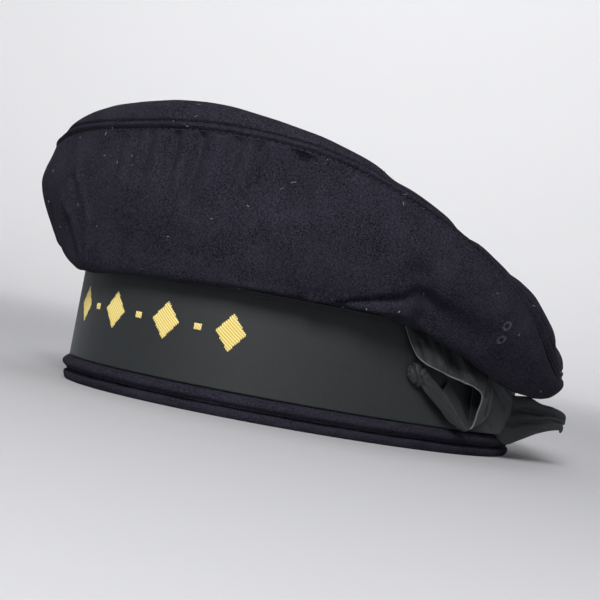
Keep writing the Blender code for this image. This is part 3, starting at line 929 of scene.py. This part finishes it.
for k, row in enumerate(BACK_TAIL_ROWS):
    at = dict(zip(TAIL_COLUMNS, row))
    a = Vector(bow_point(at["angle_a"], at["out_a"], at["height_a"], TAIL_REACH))
    b = Vector(bow_point(at["angle_b"], at["out_b"], at["height_b"], TAIL_REACH))
    ahead = math.radians(at["angle_a"]) + TAIL_FOLD_WAY
    face_out = Vector((math.sin(ahead), -math.cos(ahead), 0))
    deep = TAIL_FOLD_DEPTH * min(1, max(0, (k - 3) / 2)) * min(1, (len(BACK_TAIL_ROWS) - k) / 3)
    line = [
        a.lerp(b, i / (len(TAIL_FOLD) - 1)) + face_out * out * deep
        for i, out in enumerate(TAIL_FOLD)
    ]
    sections.append([point[:] for point in line])
back_tail = strip_piece(
    "bow_back_tail", sections, fine_along=100, fine_across=61, ripples=STRIP_RIPPLE,
)
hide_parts("bow_tail_back")

# Wrap. Behind the loop the ribbon is carried on round the band, loosely, and its edge turns in
# over the start of the tail.
WRAP_ROWS = (
    (95.5, 0.08, 0.015, 0.12, 92.5, 0.12, 0.66),
    (98.5, 0.20, 0.012, 0.30, 96.0, 0.30, 0.64),
    (102.0, 0.28, 0.010, 0.40, 100.0, 0.40, 0.61),
    (106.0, 0.32, 0.010, 0.46, 104.5, 0.44, 0.58),
    (110.0, 0.32, 0.010, 0.50, 109.0, 0.44, 0.55),
    (113.5, 0.26, 0.012, 0.48, 113.0, 0.40, 0.52),
    (115.3, 0.18, 0.015, 0.38, 115.0, 0.30, 0.50),
    (115.6, 0.10, 0.018, 0.26, 115.4, 0.20, 0.49),
)
WRAP_FOLDS = (
    (1.2, 0.98, 3.6, 0.55, 0.0012, -0.0008),
    (2.2, 0.98, 4.6, 0.70, 0.0013, 0.0006),
    (1.0, 0.30, 2.6, 0.12, 0.0010, -0.0006),
    (5.3, 0.05, 6.2, 0.60, 0.0010, -0.0006),
)
WRAP_RIPPLE = 0.00018
wrap = strip_piece(
    "bow_wrap_ribbon", bowed_sections(WRAP_ROWS),
    fine_along=80, fine_across=49, ripples=WRAP_RIPPLE, folds=WRAP_FOLDS,
)

# Knot. The ribbon is drawn tight round itself in a small lumpy knot, whose turns leave deep
# creases between them.
bpy.ops.object.select_all(action="DESELECT")
bpy.ops.mesh.primitive_cube_add(size=2, location=(0, 0, 0))
knot = bpy.context.object
knot.name = "bow_knot_ribbon"
soft = knot.modifiers.new("rounding", "SUBSURF")
soft.levels = 5
soft.render_levels = 5
bpy.ops.object.modifier_apply(modifier="rounding")
KNOT_ANGLE, KNOT_OUT, KNOT_HEIGHT = 71.6, 0.17, 0.49
KNOT_HALF = Vector((0.0054, 0.0026, 0.0040))
KNOT_SLANT = math.radians(32)
KNOT_FULLNESS = 1.02
KNOT_CREASES = ((-0.55, 0.26, 0.09), (0.05, 0.34, 0.11), (0.62, 0.24, 0.08))
KNOT_LUMPS = ((2.6, 0.10), (6.0, 0.05))
turned = Matrix.Rotation(math.radians(KNOT_ANGLE), 3, "Z") @ Matrix.Rotation(KNOT_SLANT, 3, "Y")
knot_middle = Vector(bow_point(KNOT_ANGLE, KNOT_OUT, KNOT_HEIGHT, BOW_DEPTH))
for vert in knot.data.vertices:
    p = vert.co.normalized()
    twist = p.x + 0.55 * p.z + 0.25 * math.sin(3 * p.z + 1)
    creases = sum(
        deep * math.exp(-((twist - at) / wide) ** 2) for at, deep, wide in KNOT_CREASES
    )
    lumps = sum(tall * noise.noise(p * often) for often, tall in KNOT_LUMPS)
    size = KNOT_FULLNESS - creases + lumps
    point = Vector((p.x * KNOT_HALF.x, p.y * KNOT_HALF.y, p.z * KNOT_HALF.z)) * size
    vert.co = turned @ point + knot_middle
knot.data.materials.append(faille)
knot.data.shade_smooth()
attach(knot, "root")
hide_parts("bow_knot")


# Eyelets. Two vent holes, one over the other on the crown's drooping left side, are bound with
# navy thread, in stitches that run from the hole outwards.
EYELET_HOLE = 0.00105
EYELET_STITCHES = 16
STITCH_LENGTH = 0.0011
STITCH_THICKNESS = 0.00030
STITCH_RAISE = 0.0001
STITCH_STRAY = 0.3
THREAD_TWIST = 0.0004
DEGREES_PER_SHARE = 50

# Each eyelet's node, its degrees round from the front, and its share of the way from the
# side's foot to the seam.
EYELETS = (
    ("eyelet_lower", 82.5, 0.684),
    ("eyelet_upper", 81.6, 0.756),
)

# Waxed thread: several plies twisted and drawn through wax, which leaves it round and dull.
# Its twist shows as a mottle, drawn at 0.4 mm.
eyelet_thread, shader = new_material("waxed_thread", 0.60, 0.20, "#ffffff", 0.35)
place = add_node(eyelet_thread, "ShaderNodeTexCoord", {}).outputs["Object"]
twist = add_node(
    eyelet_thread, "ShaderNodeTexNoise", {"Vector": place, "Scale": 1 / THREAD_TWIST},
)
tone = add_node(
    eyelet_thread, "ShaderNodeMix",
    {0: twist.outputs["Fac"], 6: linear("#25252d"), 7: linear("#46464f")}, data_type="RGBA",
)
eyelet_thread.node_tree.links.new(tone.outputs[2], shader.inputs["Base Color"])


# A thread's places along it, its shares of its full width there, and how far it bows up, in
# thicknesses.
THREAD_PROFILE = ((0, 0.45, 0), (0.2, 0.95, 0.5), (0.5, 1, 0.75), (0.8, 0.95, 0.5), (1, 0.45, 0))
THREAD_CORNERS = 6


def thread_length(mesh, a, b, up, thickness):
    """Add a short rounded length of thread from a to b that bows up in its middle."""
    way = b - a
    beside = way.cross(up).normalized()
    rings = []
    for part, width, rise in THREAD_PROFILE:
        centre = a + way * part + up * thickness * rise
        rings.append([
            mesh.verts.new(
                centre + (beside * math.cos(k) + up * math.sin(k)) * thickness / 2 * width
            )
            for k in [math.tau * step / THREAD_CORNERS for step in range(THREAD_CORNERS)]
        ])
    for here, after in zip(rings, rings[1:]):
        for k in range(THREAD_CORNERS):
            beyond = (k + 1) % THREAD_CORNERS
            mesh.faces.new((here[k], here[beyond], after[beyond], after[k]))
    mesh.faces.new(rings[0][::-1])
    mesh.faces.new(rings[-1])


def thread_piece(name, shape, material):
    """Make a piece of a mesh of threads."""
    bmesh.ops.recalc_face_normals(shape, faces=shape.faces)
    mesh = bpy.data.meshes.new(name)
    shape.to_mesh(mesh)
    shape.free()
    mesh.materials.append(material)
    mesh.shade_smooth()
    piece = link_piece(name, mesh)
    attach(piece, "root")
    return piece


side_points = side_out.reshape(-1, 3)
side_normals = outward(side_out).reshape(-1, 3)
side_turns = angles_round(side_points)
for name, angle, part in EYELETS:
    away = np.abs(side_turns - angle) / DEGREES_PER_SHARE + np.abs(share.ravel() - part)
    near = int(np.argmin(away))
    middle = Vector(side_points[near])
    up = Vector(side_normals[near]).normalized()
    first = up.orthogonal().normalized()
    second = up.cross(first)
    shape = bmesh.new()
    for k in range(EYELET_STITCHES):
        stray = STITCH_STRAY * noise.noise(Vector((k, 3.3, 1.1)))
        turn = math.tau * (k + stray) / EYELET_STITCHES
        way = first * math.cos(turn) + second * math.sin(turn)
        start = middle + way * EYELET_HOLE + up * STITCH_RAISE
        thread_length(shape, start, start + way * STITCH_LENGTH, up, STITCH_THICKNESS)
    piece = thread_piece(name + "_stitches", shape, eyelet_thread)
    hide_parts(name)


# Seam stitching. A row of navy thread runs in the groove between the crown's side and top,
# and holds the seam's turned edges down.
SEAM_STITCH = 0.0021
SEAM_THREAD = 0.0004
SEAM_SINK = 0.0001

# Seam thread: spun thread in the wool's own navy, twisted, with hardly any gloss. Its twist
# is drawn as the waxed thread's is.
seam_thread, shader = new_material("seam_thread", 0.7, 0.15, "#c0c4d8", 0.25)
place = add_node(seam_thread, "ShaderNodeTexCoord", {}).outputs["Object"]
twist = add_node(
    seam_thread, "ShaderNodeTexNoise", {"Vector": place, "Scale": 1 / THREAD_TWIST},
)
tone = add_node(
    seam_thread, "ShaderNodeMix",
    {0: twist.outputs["Fac"], 6: linear("#16161d"), 7: linear("#2b2a36")}, data_type="RGBA",
)
seam_thread.node_tree.links.new(tone.outputs[2], shader.inputs["Base Color"])
line = (side_out[:, -1] + top_out[:, 0]) / 2
line_up = outward(side_out)[:, -3]
gone = lengths_round(line)
closed_line = np.vstack((line, line[:1]))
closed_up = np.vstack((line_up, line_up[:1]))
count = round(gone[-1] / STITCH_SPACING)
shape = bmesh.new()
for k in range(count):
    middle = gone[-1] * k / count
    up = Vector([np.interp(middle, gone, closed_up[:, axis]) for axis in range(3)]).normalized()
    ends = []
    for at in (middle, middle + SEAM_STITCH):
        point = [np.interp(at % gone[-1], gone, closed_line[:, axis]) for axis in range(3)]
        ends.append(Vector(point) - up * SEAM_SINK)
    thread_length(shape, *ends, up, SEAM_THREAD)
thread_piece("seam_stitches", shape, seam_thread)


# Lint. Worn wool picks up pale fibres and specks, and a few sit where the photograph shows
# them. Each is a short bent hair that lies on the cloth.
LINT_COUNT = 90
LINT_LENGTHS = (0.0004, 0.0016)
LINT_THICKNESSES = (0.00010, 0.00022)
LINT_RAISE = 0.6
LINT_BEND = 0.3
LINT_TONE_SIZE = 0.02
DEGREE_LENGTH = 0.002

# Lint: loose cotton and wool fibres, matt and pale, some greyer than others.
lint_fibre, shader = new_material("lint_fibre", 0.8, 0.2, "#ffffff", 0.3)
place = add_node(lint_fibre, "ShaderNodeTexCoord", {}).outputs["Object"]
twist = add_node(
    lint_fibre, "ShaderNodeTexNoise", {"Vector": place, "Scale": 1 / LINT_TONE_SIZE},
)
tone = add_node(
    lint_fibre, "ShaderNodeMix",
    {0: twist.outputs["Fac"], 6: linear("#55565e"), 7: linear("#a8a9ae")}, data_type="RGBA",
)
lint_fibre.node_tree.links.new(tone.outputs[2], shader.inputs["Base Color"])
LINT_COLUMNS = ("angle", "height", "length", "thickness")
LINT_SEEN = (
    (-2.5, 0.0842, 0.0012, 0.00018),
    (25.9, 0.0771, 0.0008, 0.00022),
    (20.4, 0.0701, 0.0006, 0.00026),
    (33.5, 0.0886, 0.0022, 0.00018),
    (51.4, 0.0490, 0.0006, 0.00030),
    (57.4, 0.0500, 0.0008, 0.00036),
    (12.0, 0.0610, 0.0009, 0.00020),
)
chance = np.random.default_rng(11)
shape = bmesh.new()
spots = []
for row in LINT_SEEN:
    at = dict(zip(LINT_COLUMNS, row))
    away = np.abs(side_turns - at["angle"]) * DEGREE_LENGTH
    near = int(np.argmin(away + np.abs(side_points[:, 2] - at["height"])))
    spots.append((side_points[near], side_normals[near], at["length"], at["thickness"]))
top_points = top_out.reshape(-1, 3)
top_normals = outward(top_out).reshape(-1, 3)
for k in range(LINT_COUNT):
    points, normals = ((side_points, side_normals), (top_points, top_normals))[k % 2]
    near = int(chance.integers(len(points)))
    length, thickness = chance.uniform(*LINT_LENGTHS), chance.uniform(*LINT_THICKNESSES)
    spots.append((points[near], normals[near], length, thickness))
for point, normal, length, thickness in spots:
    up = Vector(normal).normalized()
    beside = up.orthogonal().normalized()
    beside.rotate(Matrix.Rotation(chance.uniform(0, math.tau), 3, up))
    start = Vector(point) + up * thickness * LINT_RAISE
    bend = up.cross(beside) * length * chance.uniform(-LINT_BEND, LINT_BEND)
    elbow = start + beside * length / 2 + bend
    thread_length(shape, start, elbow, up, thickness)
    thread_length(shape, elbow, start + beside * length, up, thickness)
lint = thread_piece("lint_fibres", shape, lint_fibre)


# Studio. The cap stands on a plain pale floor that curves up all round into a wall, under
# broad soft lights.
BOWL_PROFILE = (
    (0.0, 0.0), (0.5, 0.0), (1.2, 0.0), (1.7, 0.02), (2.1, 0.16),
    (2.4, 0.5), (2.55, 1.0), (2.6, 1.8), (2.6, 2.6),
)
BOWL_STEP = 3.75
BOWL_ROWS = 41
BOWL_HOLE = 0.3
profile = np.array([(r, 0.0, z) for r, z in BOWL_PROFILE])
profile = smooth_along(profile, np.linspace(0, len(BOWL_PROFILE) - 1, BOWL_ROWS), False)
angles = np.radians(np.arange(0, 360, BOWL_STEP))
bowl = np.array([
    [(p[0] * math.cos(a), p[0] * math.sin(a), max(p[2], 0)) for p in profile[1:]]
    for a in angles
])

# Paper: a seamless matt roll, whose tone carries a painted falloff of the light: a little
# darker near the cap and paler towards the wall.
paper, shader = new_material("studio_paper", 0.9, 0.0, "#ffffff", 0.1)
place = add_node(paper, "ShaderNodeTexCoord", {}).outputs["Object"]
away = add_node(paper, "ShaderNodeVectorMath", {0: place}, operation="LENGTH")
painted_falloff = add_node(
    paper, "ShaderNodeMapRange",
    {"Value": away.outputs["Value"], "From Min": 0.1, "From Max": 2.6},
    interpolation_type="SMOOTHSTEP",
)
tone = add_node(
    paper, "ShaderNodeMix",
    {0: painted_falloff.outputs[0], 6: linear("#b0b0b3"), 7: linear("#e4e4e6")}, data_type="RGBA",
)
paper.node_tree.links.new(tone.outputs[2], shader.inputs["Base Color"])
floor = grid_piece("studio_floor", bowl[:, ::-1], [paper])
edit = bmesh.new()
edit.from_mesh(floor.data)
rims = [edge for edge in edit.edges if edge.is_boundary]
inner_edge = [edge for edge in rims if edge.verts[0].co.length < BOWL_HOLE]
bmesh.ops.holes_fill(edit, edges=inner_edge, sides=0)
edit.to_mesh(floor.data)
edit.free()

world = bpy.data.worlds.new("studio_air")
world.use_nodes = True
world.node_tree.nodes["Background"].inputs["Color"].default_value = (0.95, 0.97, 1.0, 1)
world.node_tree.nodes["Background"].inputs["Strength"].default_value = 0.08
bpy.context.scene.world = world


def soft_light(name, place, aim, size, power):
    """A square area light that points at a place."""
    light = bpy.data.lights.new(name, "AREA")
    light.shape = "SQUARE"
    light.size = size
    light.energy = power
    lamp = bpy.data.objects.new(name, light)
    lamp.location = place
    lamp.rotation_euler = (Vector(place) - Vector(aim)).to_track_quat("Z", "Y").to_euler()
    bpy.context.scene.collection.objects.link(lamp)


CAP_MIDDLE = (0, 0, 0.05)
WALL_MIDDLE = (-1.65, 1.95, 0.30)
soft_light("key_light", (0.84, -1.24, 1.02), CAP_MIDDLE, size=0.6, power=38)
soft_light("top_light", (-0.1, 0.1, 1.7), CAP_MIDDLE, size=1.3, power=7)
soft_light("fill_light", (1.5, -0.2, 0.8), CAP_MIDDLE, size=0.9, power=0.4)
soft_light("wall_light", (-0.9, 1.1, 1.6), WALL_MIDDLE, size=1.0, power=14)

# Camera: a long lens almost level with the band, rolled so that the cap tips back as worn.
AZIMUTH, ELEVATION, ROLL = (math.radians(angle) for angle in (40.62, 1.0, 10.79))
DISTANCE = 0.750
MIDDLE_HEIGHT = 0.030
AIM_ASIDE, AIM_UP = 0.005, 0.018
LENS = 107.6
back = Vector((
    math.sin(AZIMUTH) * math.cos(ELEVATION),
    -math.cos(AZIMUTH) * math.cos(ELEVATION),
    math.sin(ELEVATION),
))
beside = Vector((math.cos(AZIMUTH), math.sin(AZIMUTH), 0))
middle = Vector((AXIS.x, AXIS.y, MIDDLE_HEIGHT))
eye = middle + back * DISTANCE
aim = middle - beside * AIM_ASIDE + back.cross(beside) * AIM_UP
back = (eye - aim).normalized()
beside = Vector((0, 0, 1)).cross(back).normalized()
above = back.cross(beside)
across = beside * math.cos(ROLL) + above * math.sin(ROLL)
upward = above * math.cos(ROLL) - beside * math.sin(ROLL)
lens = bpy.data.cameras.new("camera")
lens.sensor_width = 36
lens.lens = LENS
lens.clip_start = 0.05
camera = bpy.data.objects.new("camera", lens)
camera.matrix_world = Matrix((
    (*across, 0), (*upward, 0), (*back, 0), (*eye, 1),
)).transposed()
bpy.context.scene.collection.objects.link(camera)
bpy.context.scene.camera = camera
bpy.context.scene.view_settings.view_transform = "Standard"
